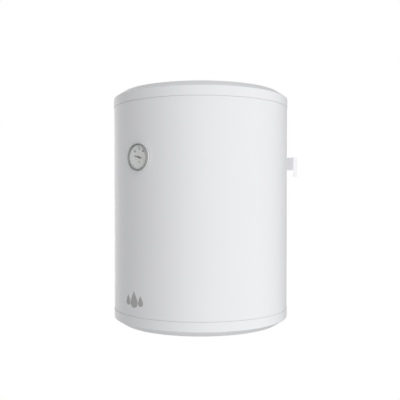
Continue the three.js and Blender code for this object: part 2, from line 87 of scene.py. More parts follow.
def makeCamera():
    data = bpy.data.cameras.new("camera")
    data.lens = view["lens"]
    data.sensor_width = view["sensor"]
    data.shift_x, data.shift_y = view["shiftX"], view["shiftY"]
    cam = bpy.data.objects.new("camera", data)
    turn = math.radians(view["azimuth"])
    reach = view["distance"] * mm
    cam.location = (axisX + reach * math.sin(turn), axisY - reach * math.cos(turn), floorZ + view["eye"] * mm)
    cam.rotation_euler = (math.radians(90 + view["pitch"]), 0.0, turn)
    scene.collection.objects.link(cam)
    scene.camera = cam
    print("camera placed")


makeCamera()


# Shader kit.

class Wire:
    # one output socket; + - * / ** and > add Math nodes to its tree
    def __init__(self, shade, socket):
        self.shade, self.socket = shade, socket

    def sum(self, kind, other, swap=False):
        pair = (other, self) if swap else (self, other)
        return self.shade.math(kind, *pair)

    def __add__(self, other):
        return self.sum("ADD", other)

    __radd__ = __add__

    def __sub__(self, other):
        return self.sum("SUBTRACT", other)

    def __rsub__(self, other):
        return self.sum("SUBTRACT", other, True)

    def __mul__(self, other):
        return self.sum("MULTIPLY", other)

    __rmul__ = __mul__

    def __truediv__(self, other):
        return self.sum("DIVIDE", other)

    def __pow__(self, other):
        return self.sum("POWER", other)

    def __gt__(self, other):
        return self.sum("GREATER_THAN", other)

    def __neg__(self):
        return self.sum("MULTIPLY", -1.0)

    def clamped(self):
        return self.shade.make("ShaderNodeClamp", {}, {"Value": self})

    def band(self, middle, halfWidth, soft):
        # 1 within halfWidth of middle, fading to 0 over soft
        away = self.shade.math("ABSOLUTE", self - middle)
        return (1.0 - (away - halfWidth) / soft).clamped()


class Shade:
    # a material or world tree, and the one way to add nodes to it
    def __init__(self, owner):
        owner.use_nodes = True
        self.tree = owner.node_tree

    def make(self, kind, settings=None, inputs=None, output=0):
        node = self.tree.nodes.new(kind)
        for key, value in (settings or {}).items():
            setattr(node, key, value)
        for key, value in (inputs or {}).items():
            self.feed(node.inputs[key], value)
        return Wire(self, node.outputs[output])

    def feed(self, socket, value):
        if isinstance(value, Wire):
            self.tree.links.new(value.socket, socket)
        else:
            socket.default_value = value

    def math(self, kind, a, b=0.0):
        return self.make("ShaderNodeMath", {"operation": kind}, {0: a, 1: b})

    def mixColour(self, factor, a, b):
        return self.make("ShaderNodeMix", {"data_type": "RGBA"}, {0: factor, 6: a, 7: b}, 2)

    def coords(self, scale=(1.0, 1.0, 1.0)):
        spot = self.make("ShaderNodeTexCoord", {}, {}, 3)
        return self.make("ShaderNodeMapping", {}, {"Vector": spot, "Scale": scale})

    def parts(self, vector):
        split = self.tree.nodes.new("ShaderNodeSeparateXYZ")
        self.feed(split.inputs[0], vector)
        return [Wire(self, out) for out in split.outputs]

    def noise(self, scale, detail=3.0, roughness=0.5, vector=None):
        inputs = {"Vector": vector or self.coords(), "Scale": scale, "Detail": detail, "Roughness": roughness}
        return self.make("ShaderNodeTexNoise", {}, inputs)

    def bump(self, height, distance, strength=1.0, normal=None):
        inputs = {"Height": height, "Distance": distance, "Strength": strength}
        if normal is not None:
            inputs["Normal"] = normal
        return self.make("ShaderNodeBump", {}, inputs)


class Finish(Shade):
    # a material with one Principled shader; fixed numbers go straight on its sockets
    def __init__(self, name, colour, roughness, **fixed):
        self.material = bpy.data.materials.new(name)
        super().__init__(self.material)
        self.shader = self.tree.nodes["Principled BSDF"]
        self.set("Base Color", (*colour, 1.0))
        self.set("Roughness", roughness)
        for key, value in fixed.items():
            self.set(key.replace("_", " "), value)

    def set(self, socket, value):
        self.feed(self.shader.inputs[socket], value)


def rgb(colour):
    return (*colour, 1.0)


def scaled(colour, factor):
    return tuple(c * factor for c in colour)


# Finishes.

paintLook = {
    "colour": (0.80, 0.805, 0.82),
    "roughness": 0.32,
    "peelScale": 900.0,
    "peelDepth": 0.00004,
    # amount of dust specks; makePaint adds painted shade along the seams to the same mask
    "dustAndSeamShade": 0.05,
}


def makePaint(name, seams=()):
    # powder coat: fine orange peel, a faint cloudy tone, dust specks, and a grey band along the seams that is
    # partly dust and partly painted shade in the joint
    look = paintLook
    paint = Finish(name, look["colour"], look["roughness"], Coat_Weight=0.25, Coat_Roughness=0.12)
    cloud = paint.noise(7.0, 4.0, 0.55)
    specks = paint.noise(1500.0, 1.0, 0.4)
    streak = paint.noise(60.0, 3.0, 0.6, paint.coords(scale=(1.0, 1.0, 0.03)))
    tone = (cloud - 0.5) * 0.6 + (streak - 0.5) * 0.25 + 0.5
    dustAndSeamShade = (specks > 0.72) * look["dustAndSeamShade"]
    height = paint.parts(paint.coords())[2]
    # painted shade: along each seam where a cover meets the casing, the paint is mixed towards grey in a
    # narrow band, partly dust and partly the shade that falls in the joint
    for place in seams:
        dustAndSeamShade = dustAndSeamShade + height.band(place, 0.0004, 0.0022) * ((cloud - 0.35) * 0.9).clamped() * 0.25
    dark, pale = rgb(scaled(look["colour"], 0.985)), rgb(scaled(look["colour"], 1.012))
    base = paint.mixColour(tone.clamped(), dark, pale)
    # the grey mixed in here stands for the dust specks and the painted seam shade
    dustAndShadeColour = paint.mixColour(dustAndSeamShade.clamped(), base, (0.42, 0.41, 0.39, 1.0))
    paint.set("Base Color", dustAndShadeColour)
    smear = paint.noise(18.0, 5.0, 0.6)
    paint.set("Roughness", look["roughness"] + (smear - 0.5) * 0.12 + dustAndSeamShade * 0.6)
    peel = paint.noise(look["peelScale"], 2.0, 0.5)
    wave = paint.noise(28.0, 1.0, 0.5)
    fineBump = paint.bump(peel, look["peelDepth"], 0.35)
    paint.set("Normal", paint.bump(wave, 0.0006, 0.25, fineBump))
    return paint.material


def makePlastic(name, colour, roughness=0.42, grain=2600.0, depth=0.00003, wear=0.12, **fixed):
    # moulded plastic: spark-eroded grain, slight flow tone, rubbed patches that shine a little more
    plastic = Finish(name, colour, roughness, **fixed)
    flow = plastic.noise(26.0, 3.0, 0.55)
    rub = plastic.noise(70.0, 5.0, 0.65)
    dark, pale = rgb(scaled(colour, 1.0 - wear * 0.6)), rgb(scaled(colour, 1.0 + wear * 0.4))
    plastic.set("Base Color", plastic.mixColour(flow, dark, pale))
    plastic.set("Roughness", roughness + (rub - 0.5) * 0.22)
    plastic.set("Normal", plastic.bump(plastic.noise(grain, 2.0, 0.6), depth, 0.5))
    return plastic.material


def makeZinc(name, colour=(0.92, 0.915, 0.945), roughness=0.55):
    # dull, pale zinc coat: soft spangle, rolling lines along the strip, faintly stained patches
    zinc = Finish(name, colour, roughness, Metallic=0.05)
    cells = {"Vector": zinc.coords(), "Scale": 230.0}
    spangle = zinc.make("ShaderNodeTexVoronoi", {"feature": "F1"}, cells, 1)
    spangleTone = zinc.parts(spangle)[0]
    rolling = zinc.noise(900.0, 2.0, 0.5, zinc.coords(scale=(0.03, 1.0, 1.0)))
    stain = zinc.noise(45.0, 5.0, 0.6)
    tone = (spangleTone - 0.5) * 0.35 + (stain - 0.5) * 0.7 + 0.5
    dull, pale = rgb(scaled(colour, 0.95)), rgb(scaled(colour, 1.01))
    zinc.set("Base Color", zinc.mixColour(tone.clamped(), dull, pale))
    zinc.set("Roughness", roughness + (stain - 0.5) * 0.25 + (rolling - 0.5) * 0.1)
    zinc.set("Normal", zinc.bump(rolling, 0.00002, 0.4))
    return zinc.material


def makeMetal(name, colour, roughness, metallic=1.0, tarnish=0.25, grain=(1.0, 1.0, 0.02)):
    # drawn or turned metal: fine lines, tarnish in patches
    metal = Finish(name, colour, roughness, Metallic=metallic)
    lines = metal.noise(1400.0, 2.0, 0.5, metal.coords(scale=grain))
    patch = metal.noise(60.0, 5.0, 0.62)
    dull = ((patch - 0.45) * 3.0).clamped()
    metal.set("Base Color", metal.mixColour(dull * tarnish, rgb(colour), rgb(scaled(colour, 0.45))))
    metal.set("Roughness", roughness + dull * 0.18 + (lines - 0.5) * 0.12)
    metal.set("Normal", metal.bump(lines, 0.00002, 0.35))
    return metal.material


def makeChrome():
    # satin grey metallic coat on moulded trim, with faint handling smears
    colour = (0.33, 0.34, 0.335)
    chrome = Finish("satin grey trim", colour, 0.4, Metallic=0.35)
    smear = chrome.noise(220.0, 4.0, 0.6)
    fineLine = chrome.noise(2400.0, 2.0, 0.5)
    chrome.set("Base Color", chrome.mixColour(smear, rgb(scaled(colour, 0.92)), rgb(scaled(colour, 1.05))))
    chrome.set("Roughness", 0.38 + (smear - 0.5) * 0.16)
    chrome.set("Normal", chrome.bump(fineLine, 0.00001, 0.2))
    return chrome.material


def makeDialFace():
    # printed card behind the window: paper tooth and a faint uneven tone
    colour = (0.84, 0.845, 0.83)
    face = Finish("dial card", colour, 0.62)
    tooth = face.noise(3200.0, 3.0, 0.6)
    tone = face.noise(90.0, 3.0, 0.5)
    face.set("Base Color", face.mixColour(tone, rgb(scaled(colour, 0.95)), rgb(scaled(colour, 1.04))))
    face.set("Roughness", 0.6 + (tooth - 0.5) * 0.2)
    face.set("Normal", face.bump(tooth, 0.00002, 0.4))
    return face.material


def makePrint(name, colour):
    # screen-printed ink with an uneven film
    ink = Finish(name, colour, 0.5)
    film = ink.noise(900.0, 3.0, 0.6)
    ink.set("Base Color", ink.mixColour(film, rgb(scaled(colour, 0.85)), rgb(scaled(colour, 1.2))))
    ink.set("Roughness", 0.45 + (film - 0.5) * 0.2)
    return ink.material


def makeWindow():
    # clear window: nearly all of it lets light through, faint wiping haze
    window = Finish("clear window", (0.93, 0.95, 0.95), 0.04, IOR=1.49)
    haze = window.noise(120.0, 4.0, 0.6)
    window.set("Roughness", 0.03 + (haze - 0.3).clamped() * 0.08)
    window.set("Alpha", 0.16 + (haze - 0.5) * 0.04)
    return window.material


def makeFoam():
    # foamed-in-place polyurethane: open cells and a browned skin
    colour = (0.78, 0.66, 0.36)
    foam = Finish("polyurethane foam", colour, 0.95)
    cells = foam.make("ShaderNodeTexVoronoi", {"feature": "F1"}, {"Vector": foam.coords(), "Scale": 900.0})
    skin = foam.noise(30.0, 5.0, 0.6)
    foam.set("Base Color", foam.mixColour(skin, rgb(scaled(colour, 0.78)), rgb(scaled(colour, 1.1))))
    foam.set("Roughness", 0.88 + (skin - 0.5) * 0.15)
    foam.set("Normal", foam.bump(cells, 0.0004, 0.7))
    return foam.material


def makeEnamel():
    # vitreous enamel over steel: glossy dark blue with speckle
    colour = (0.03, 0.05, 0.075)
    enamel = Finish("vitreous enamel", colour, 0.18, Coat_Weight=0.6)
    speck = enamel.noise(1200.0, 2.0, 0.5)
    run = enamel.noise(24.0, 3.0, 0.5)
    enamel.set("Base Color", enamel.mixColour((speck > 0.63) * 0.7, rgb(colour), (0.18, 0.22, 0.26, 1.0)))
    enamel.set("Roughness", 0.16 + (run - 0.5) * 0.12)
    enamel.set("Normal", enamel.bump(run, 0.0006, 0.3))
    return enamel.material


def makeRubber():
    rubber = Finish("gasket rubber", (0.022, 0.022, 0.023), 0.75)
    bloom = rubber.noise(80.0, 4.0, 0.6)
    rubber.set("Base Color", rubber.mixColour(bloom, (0.016, 0.016, 0.017, 1.0), (0.05, 0.05, 0.052, 1.0)))
    rubber.set("Roughness", 0.72 + (bloom - 0.5) * 0.25)
    rubber.set("Normal", rubber.bump(rubber.noise(1800.0, 2.0, 0.6), 0.00005, 0.5))
    return rubber.material


def makeEarthLead():
    # green insulation with a yellow stripe that winds along it
    lead = Finish("earth lead", (0.05, 0.3, 0.06), 0.45)
    x, y, z = lead.parts(lead.coords())
    stripe = lead.math("SINE", (x + y * 0.6 + z * 0.8) * 900.0) > 0.1
    lead.set("Base Color", lead.mixColour(stripe, (0.05, 0.3, 0.06, 1.0), (0.75, 0.62, 0.04, 1.0)))
    film = lead.noise(700.0, 2.0, 0.5)
    lead.set("Roughness", 0.42 + (film - 0.5) * 0.2)
    return lead.material


seamLow, seamHigh = (corner[2] * mm + floorZ for corner in local("casing"))
finish = {
    "paint": makePaint("white powder coat", (seamLow, seamHigh)),
    "coverPaint": makePaint("white powder coat covers"),
    "whitePlastic": makePlastic("white moulding", (0.74, 0.745, 0.75)),
    "blackPlastic": makePlastic("black moulding", (0.03, 0.03, 0.032), 0.5, wear=0.5),
    "bluePlastic": makePlastic("blue moulding", (0.03, 0.12, 0.42), 0.4, wear=0.3),
    "redPlastic": makePlastic("red moulding", (0.48, 0.03, 0.025), 0.4, wear=0.3),
    "amberPlastic": makePlastic("amber moulding", (0.7, 0.25, 0.03), 0.14, depth=0.00001, Coat_Weight=0.5),
    "brownLead": makePlastic("brown lead", (0.16, 0.06, 0.025), 0.45, wear=0.3),
    "earthLead": makeEarthLead(),
    "zinc": makeZinc("dull zinc plate"),
    "screwZinc": makeMetal("bright zinc screw", (0.60, 0.61, 0.64), 0.3, 0.9),
    "steel": makeMetal("plain steel", (0.55, 0.56, 0.57), 0.34),
    "copper": makeMetal("drawn copper", (0.72, 0.43, 0.28), 0.3),
    "brass": makeMetal("turned brass", (0.75, 0.6, 0.28), 0.28),
    "magnesium": makeMetal("cast magnesium", (0.5, 0.5, 0.49), 0.55, 0.8, 0.4, (1.0, 1.0, 1.0)),
    "chrome": makeChrome(),
    "trim": makePlastic("pale base ring", (0.93, 0.935, 0.93), 0.3),
    "dial": makeDialFace(),
    "ink": makePrint("dark print", (0.045, 0.045, 0.05)),
    "markInk": makePrint("grey print", (0.42, 0.42, 0.425)),
    "needle": makePrint("red-brown needle paint", (0.055, 0.026, 0.023)),
    "window": makeWindow(),
    "foam": makeFoam(),
    "enamel": makeEnamel(),
    "rubber": makeRubber(),
}

slotFinish = {
    "enamelled_casing": "paint", "white_plastic": "whitePlastic", "zinc_steel": "zinc",
    "black_plastic": "blackPlastic", "chrome_trim": "chrome", "dial_face": "dial",
    "needle_paint": "needle", "clear_lens": "window", "copper": "copper", "tank_enamel": "enamel",
    "foam": "foam", "flange_steel": "steel", "rubber": "rubber", "magnesium": "magnesium",
    "brass": "brass", "blue_plastic": "bluePlastic", "red_plastic": "redPlastic",
    "amber_plastic": "amberPlastic", "brown_lead": "brownLead", "green_yellow_lead": "earthLead",
}
print("finishes made:", len(finish))


# Light and stage.

light = {
    "ambient": 0.30,
    # azimuth: strength, fading away from the level, growing away from the level
    "banks": {30.0: (0.65, 2, 0), 60.0: (0.5, 0, 0.8), 120.0: (0.5, 0, 2.5), -115.0: (1.0, 12, 0)},
    "tightness": 4.0,
    "above": -0.05, "below": -0.10,
    "backdrop": 1.0,
    "floorDrop": 0.55,  # from the heater's underside to the floor
    "floorRadius": 14.0,
}


def makeWorld():
    # soft studio surround: an even level and soft banks of light at a few azimuths
    world = bpy.data.worlds.new("studio")
    scene.world = world
    sky = Shade(world)
    background = sky.tree.nodes["Background"]
    direction = sky.make("ShaderNodeTexCoord", {}, {}, 0)
    x, y, up = sky.parts(direction)
    across = sky.make("ShaderNodeCombineXYZ", {}, {0: x, 1: y, 2: 0.0})
    across = sky.make("ShaderNodeVectorMath", {"operation": "NORMALIZE"}, {0: across})
    level = light["ambient"]
    for azimuth, (strength, fading, growing) in light["banks"].items():
        turnBy = math.radians(azimuth)
        side = (math.sin(turnBy), -math.cos(turnBy), 0.0)
        facing = sky.make("ShaderNodeVectorMath", {"operation": "DOT_PRODUCT"}, {0: across, 1: side}, 1)
        bank = sky.math("MAXIMUM", facing, 0.0) ** light["tightness"] * strength
        level = bank * (1.0 - up * up) ** (fading / 2) * (1.0 + up * up * growing) + level
    level = level + sky.math("MAXIMUM", up, 0.0) * light["above"]
    level = level + sky.math("MAXIMUM", -up, 0.0) * light["below"]
    seen = sky.make("ShaderNodeLightPath", {}, {}, 0)
    sky.feed(background.inputs["Strength"], seen * light["backdrop"] + (1.0 - seen) * level)
    background.inputs["Color"].default_value = (1.0, 1.0, 1.0, 1.0)


def makeFloor():
    # pale floor, seen only from above so that the underside can be looked at from below
    bm = bmesh.new()
    bmesh.ops.create_circle(bm, cap_ends=True, segments=96, radius=light["floorRadius"])
    bmesh.ops.translate(bm, vec=(axisX, axisY, floorZ - light["floorDrop"]), verts=bm.verts)
    mesh = bpy.data.meshes.new("floor")
    bm.to_mesh(mesh)
    bm.free()
    floor = bpy.data.objects.new("floor", mesh)
    scene.collection.objects.link(floor)
    pale = Shade(bpy.data.materials.new("pale floor"))
    out = pale.tree.nodes["Material Output"]
    white = {"Color": (1.0, 1.0, 1.0, 1.0), "Strength": light["backdrop"]}
    glow = pale.make("ShaderNodeEmission", {}, white)
    clear = pale.make("ShaderNodeBsdfTransparent")
    under = pale.make("ShaderNodeNewGeometry", {}, {}, 6)
    pale.feed(out.inputs["Surface"], pale.make("ShaderNodeMixShader", {}, {0: under, 1: glow, 2: clear}))
    mesh.materials.append(bpy.data.materials["pale floor"])
    floor.visible_diffuse = False
    floor.visible_glossy = False
    floor.visible_shadow = False


scene.view_settings.view_transform = "Standard"
makeWorld()
makeFloor()
print("studio set")


# Mesh kit.

edgeAngle = {"smooth": 32, "worn": 40}  # degrees between two faces


def roundedLine(points, steps=6):
    # [r, z] or [r, z, corner radius] points; a corner with a radius becomes an arc
    line = []
    for i, point in enumerate(points):
        corner = Vector(point[:2])
        if len(point) < 3:
            line.append(corner)
            continue
        before = (Vector(points[i - 1][:2]) - corner).normalized()
        after = (Vector(points[(i + 1) % len(points)][:2]) - corner).normalized()
        half = before.angle(after) / 2
        reach = point[2] / math.tan(half)
        middle = corner + (before + after).normalized() * (point[2] / math.sin(half))
        start = corner + before * reach - middle
        sweep = start.angle_signed(corner + after * reach - middle)
        for k in range(steps + 1):
            angle = -sweep * k / steps
            turned = Vector((start.x * math.cos(angle) - start.y * math.sin(angle),
                             start.x * math.sin(angle) + start.y * math.cos(angle)))
            line.append(middle + turned)
    return line


def spun(points, steps=96, loop=True, arcs=6):
    # solid of revolution in mm about the Z axis; an open line starts and ends on the axis
    bm = bmesh.new()
    verts = [bm.verts.new((p.x, 0.0, p.y)) for p in roundedLine(points, arcs)]
    edges = [bm.edges.new(pair) for pair in zip(verts, verts[1:])]
    if loop:
        edges.append(bm.edges.new((verts[-1], verts[0])))
    bmesh.ops.spin(bm, geom=verts + edges, cent=(0, 0, 0), axis=(0, 0, 1), angle=2 * math.pi,
                   steps=steps, use_merge=True, use_duplicate=False)
    bmesh.ops.remove_doubles(bm, verts=bm.verts, dist=1e-4)
    bmesh.ops.recalc_face_normals(bm, faces=bm.faces)
    return bm


def bevelled(bm, edges, offset, segments=2):
    bmesh.ops.bevel(bm, geom=edges, offset=offset, segments=segments, profile=0.5,
                    affect="EDGES", material=-1)
    return bm


def boxed(low, high, bevel=0.0, segments=2):
    bm = bmesh.new()
    bmesh.ops.create_cube(bm, size=1.0)
    size = [b - a for a, b in zip(low, high)]
    bmesh.ops.scale(bm, vec=size, verts=bm.verts)
    bmesh.ops.translate(bm, vec=[(a + b) / 2 for a, b in zip(low, high)], verts=bm.verts)
    if bevel:
        bevelled(bm, bm.edges[:], bevel, segments)
    return bm


def prism(outline, depth):
    # flat outline in X and Z, thickened along +Y
    bm = bmesh.new()
    face = bm.faces.new([bm.verts.new((x, 0.0, z)) for x, z in outline])
    made = bmesh.ops.extrude_face_region(bm, geom=[face])
    moved = [v for v in made["geom"] if isinstance(v, bmesh.types.BMVert)]
    bmesh.ops.translate(bm, vec=(0, depth, 0), verts=moved)
    bmesh.ops.recalc_face_normals(bm, faces=bm.faces)
    return bm


def rod(radius, low, high, steps=32):
    return spun([[0, low], [radius, low], [radius, high], [0, high]], steps, False)


def crossRod(radius, y0, y1, steps=32):
    # rod along Y through the heater's axis plane
    return turn(rod(radius, -y1, -y0, steps), 90, "X")


def shift(bm, x=0.0, y=0.0, z=0.0):
    bmesh.ops.translate(bm, vec=(x, y, z), verts=bm.verts)
    return bm


def turn(bm, degrees, axis):
    spin = Matrix.Rotation(math.radians(degrees), 3, axis)
    bmesh.ops.rotate(bm, cent=(0, 0, 0), matrix=spin, verts=bm.verts)
    return bm


def merged(*parts):
    # several closed bodies in one mesh
    whole = bmesh.new()
    for part in parts:
        held = bpy.data.meshes.new("held")
        part.to_mesh(held)
        part.free()
        whole.from_mesh(held)
        bpy.data.meshes.remove(held)
    return whole


def toMesh(bm, name):
    # from mm round the heater's axis to metres in the frame
    bmesh.ops.scale(bm, vec=(mm, mm, mm), verts=bm.verts)
    bmesh.ops.transform(bm, matrix=heaterPlace, verts=bm.verts)
    smoothBelow = math.radians(edgeAngle["smooth"])
    for edge in bm.edges:
        edge.smooth = len(edge.link_faces) == 2 and edge.calc_face_angle(0.0) < smoothBelow
    for face in bm.faces:
        face.smooth = True
    mesh = bpy.data.meshes.new(name)
    bm.to_mesh(mesh)
    bm.free()
    return mesh


def carve(obj, tools, kind="DIFFERENCE"):
    # cuts closed tools out of a piece, or joins them to it, and keeps the result as its mesh
    for tool in tools:
        cutter = bpy.data.objects.new("tool", toMesh(tool, "tool"))
        scene.collection.objects.link(cutter)
        step = obj.modifiers.new("step", "BOOLEAN")
        step.operation, step.solver, step.object = kind, "EXACT", cutter
        graph = bpy.context.evaluated_depsgraph_get()
        result = bpy.data.meshes.new_from_object(obj.evaluated_get(graph))
        obj.modifiers.clear()
        old, obj.data = obj.data, result
        bpy.data.meshes.remove(old)
        bpy.data.objects.remove(cutter)


def piece(bm, name, look, node=None, body="heater", cuts=(), joins=(), soften=0.0):
    # links a finished piece, makes it ride, and hides the CAD node it stands for
    obj = bpy.data.objects.new(name, toMesh(bm, name))
    scene.collection.objects.link(obj)
    carve(obj, joins, "UNION")
    carve(obj, cuts)
    obj.data.materials.clear()
    obj.data.materials.append(finish[look])
    if soften:
        worn = obj.modifiers.new("edges", "BEVEL")
        worn.width, worn.segments, worn.limit_method = soften * mm, 2, "ANGLE"
        worn.angle_limit = math.radians(edgeAngle["worn"])
    shading = obj.modifiers.new("normals", "WEIGHTED_NORMAL")
    shading.keep_sharp = True
    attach(obj, body)
    if node:
        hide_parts(node)
    return obj


def fluted(bm, count, depth, start, top=math.inf):
    # grip flutes cut in the outside of a turned piece, beyond the radius start and below top
    for vert in bm.verts:
        reach = math.hypot(vert.co.x, vert.co.y)
        if reach > start and vert.co.z < top:
            cut = depth * (0.5 + 0.5 * math.cos(count * math.atan2(vert.co.y, vert.co.x)))
            vert.co.x *= (reach - cut) / reach
            vert.co.y *= (reach - cut) / reach
    return bm


def onCasing(bm, radius):
    # wraps a flat piece that faces -Y round the casing: X becomes the arc, -Y the height above it
    for vert in bm.verts:
        angle = vert.co.x / radius
        reach = radius - vert.co.y
        vert.co.x, vert.co.y = reach * math.sin(angle), -reach * math.cos(angle)
    return bm


# Casing and covers.

shell = {
    "steps": 256, "sheet": 0.8, "gap": 0.3, "wall": 1.5,
    "shoulderInset": 21.9, "band": 22.2, "bandRadius": 3.5, "endRadius": 7.0,
    "lip": 10.0, "lipWall": 1.2,  # the lip slides into the casing
    "panelInset": 34.0, "panelStep": 0.9,  # pressed panel in each end
    "foldWidth": 7.0, "foldHeight": 0.8,
    "slotWidth": 3.0, "screwHole": 2.2, "gaugeHole": 28.5,
    "lidOpening": 82.5, "pipeOpening": 14.0, "glandOpening": 10.0,
}
casingLow, casingHigh = local("casing")
casingRadius = (casingHigh[0] - casingLow[0]) / 2
coverHeight = casingLow[2] - shell["gap"]
gaugeMiddle = centre("gauge_bezel")
armLow, armHigh = local("hanger_arm_right")
armX = (armLow[0] + armHigh[0]) / 2
spacerScrews = ["spacer_screw_1", "spacer_screw_2"]
lidScrews = ["lid_screw_1", "lid_screw_2", "lid_screw_3"]


def makeCasing():
    outer, inner = casingRadius, casingRadius - shell["sheet"]
    low, high = casingLow[2], casingHigh[2]
    tube = spun([[inner, low], [outer, low, 0.2], [outer, high, 0.2], [inner, high]], shell["steps"], arcs=3)
    gaugeHole = shift(crossRod(shell["gaugeHole"], -240, -200), z=gaugeMiddle[2])
    reach = shell["slotWidth"]
    slots = [boxed((side * armX - reach, 190, armLow[2] - 3), (side * armX + reach, 230, armHigh[2] + 3))
             for side in (-1, 1)]
    holes = [shift(crossRod(shell["screwHole"], 205, 225, 16), centre(node)[0], z=centre(node)[2])
             for node in spacerScrews]
    piece(tube, "casing_sheet", "paint", "casing", cuts=(gaugeHole, *slots, *holes))


def makeSeam():
    # folded lock seam up the back
    low, high, half = casingLow[2] + 1.5, casingHigh[2] - 1.5, shell["foldWidth"]
    fold = boxed((-half, casingRadius - 0.6, low), (half, casingRadius + shell["foldHeight"], high), 0.45, 3)
    piece(fold, "casing_lock_seam", "paint")


def coverLine():
    # half section with the end face at z = 0, the rim at coverHeight and the lip above it
    r, t = coverRadius, shell["wall"]
    end, start = r - shell["shoulderInset"], coverHeight - shell["band"]
    lipOut = casingRadius - shell["sheet"] - shell["gap"]
    lipIn, top = lipOut - shell["lipWall"], coverHeight + shell["lip"]
    panel, step = end - shell["panelInset"], shell["panelStep"]
    return [
        [0, step], [panel, step], [panel + 3, 0, 1.5], [end, 0, shell["endRadius"]],
        [r, start, shell["bandRadius"]], [r, coverHeight, 0.35], [lipOut, coverHeight],
        [lipOut, top, 0.3], [lipIn, top, 0.3], [lipIn, coverHeight - 3],
        [r - t, coverHeight - 5], [r - t, start + 1, 2.5], [end - 1, t, 5.5], [0, t + step],
    ]


def makeTopCover():
    cover = turn(spun(coverLine(), shell["steps"], False, 8), 180, "X")
    piece(shift(cover, z=totalHeight), "top_cover_shell", "coverPaint", "top_cover")


def makeBottomCover():
    cover = spun(coverLine(), shell["steps"], False, 8)
    lidX, lidY = centre("service_lid")[:2]
    opening = shift(rod(shell["lidOpening"], -2, 5, 96), lidX, lidY)
    pipeHoles = [shift(rod(shell["pipeOpening"], -2, 5, 48), *centre(node)[:2])
                 for node in ("cold_collar", "hot_collar")]
    glandHole = shift(rod(shell["glandOpening"], -2, 5, 32), *centre("cable_gland")[:2])
    screwHoles = [shift(rod(shell["screwHole"], -2, 5, 16), *centre(node)[:2]) for node in lidScrews]
    cuts = (opening, *pipeHoles, glandHole, *screwHoles)
    piece(cover, "bottom_cover_shell", "coverPaint", "bottom_cover", cuts=cuts)


makeCasing()
makeSeam()
makeTopCover()
makeBottomCover()
print("casing and covers made")


# Printed mark: three plain water drops.

mark = {
    "arc": -18.0, "height": 77.5, "sizes": (26.0, 40.0, 26.0), "spacing": 22.0,
    "pinch": 1.7,  # how sharply the tip narrows
    "halfWidth": 0.46, "sink": 0.18,  # shares of a drop's size
    "film": 0.15, "slice": 2.0, "steps": 40,
}


def dropOutline(size, x, z):
    outline = []
    for k in range(mark["steps"]):
        t = 2 * math.pi * (k + 0.5) / mark["steps"]
        width = math.sin(t) * math.sin(t / 2) ** mark["pinch"]
        outline.append((x + size * mark["halfWidth"] * width, z + size * 0.5 * math.cos(t)))
    return outline


def makeMark():
    drops = []
    for k, size in enumerate(mark["sizes"]):
        side = mark["arc"] + (k - 1) * mark["spacing"]
        low = (mark["sizes"][1] - size) * -mark["sink"]
        drop = prism(dropOutline(size, side, low), -mark["film"])
        reach = size / 2
        cut = side - reach
        while cut < side + reach:
            geom = drop.verts[:] + drop.edges[:] + drop.faces[:]
            bmesh.ops.bisect_plane(drop, geom=geom, plane_co=(cut, 0, 0), plane_no=(1, 0, 0), dist=1e-4)
            cut += mark["slice"]
        drops.append(drop)
    whole = shift(onCasing(merged(*drops), casingRadius), z=mark["height"])
    piece(whole, "drop_mark", "markInk")


makeMark()
print("mark printed")


# Service lid under the heater, with its screws.

lidLook = {
    "rimRadius": 1.0, "rimWidth": 11.0, "recess": 0.6, "knobHole": 5.0, "resetHole": 4.8, "lampHole": 4.9,
    "screwHole": 2.4, "bossHeight": 0.7, "bossWidth": 2.2,
    "dots": 13, "dotCircle": 24.0, "dotSmall": 0.45, "dotLarge": 1.5, "dotFilm": 0.2, "dotSweep": 135.0,
}


def makeLid():
    low, high = local("service_lid")
    x, y = centre("service_lid")[:2]
    radius, inner = (high[0] - low[0]) / 2, (high[0] - low[0]) / 2 - lidLook["rimWidth"]
    under = low[2] + lidLook["recess"]
    plate = spun([[0, under], [inner, under, 0.5], [inner + 1.2, low[2], 0.5],
                  [radius, low[2], lidLook["rimRadius"]], [radius, high[2], 0.3], [0, high[2]]], 160, False)
    shift(plate, x, y)
    holes, bosses = [], []
    controls = {"thermostat_knob": "knobHole", "reset_button": "resetHole", "pilot_lens": "lampHole"}
    for node, size in controls.items():
        spot = centre(node)[:2]
        holes.append(shift(rod(lidLook[size], -9, 3, 48), *spot))
        if size != "knobHole":
            edge, top = lidLook[size] + lidLook["bossWidth"], under - lidLook["bossHeight"]
            boss = [[0, top], [edge, top, 0.4], [edge + 0.5, under + 0.5], [0, under + 0.5]]
            bosses.append(shift(spun(boss, 48, False, 3), *spot))
    holes += [shift(rod(lidLook["screwHole"], -9, 3, 24), *centre(node)[:2]) for node in lidScrews]
    piece(plate, "service_lid_plate", "whitePlastic", "service_lid",
          cuts=holes, joins=bosses)
    dots = []
    knobX, knobY = centre("thermostat_knob")[:2]
    for k in range(lidLook["dots"]):
        share = k / (lidLook["dots"] - 1)
        angle = math.radians(90 - lidLook["dotSweep"] + 2 * lidLook["dotSweep"] * share)
        size = lidLook["dotSmall"] + (lidLook["dotLarge"] - lidLook["dotSmall"]) * share
        face = under - lidLook["dotFilm"]
        dot = spun([[0, face], [size, face, 0.1], [size, under], [0, under]], 24, False, 2)
        reach = lidLook["dotCircle"]
        dots.append(shift(dot, knobX + reach * math.cos(angle), knobY + reach * math.sin(angle)))
    piece(merged(*dots), "knob_scale_dots", "ink")


screwLook = {
    "headHeight": 2.2, "shank": 1.8, "pitch": 1.25, "thread": 0.35, "threadStart": 3.2, "point": 1.5,
    "crossLength": 4.4, "crossWidth": 0.95, "crossDepth": 1.3,
}


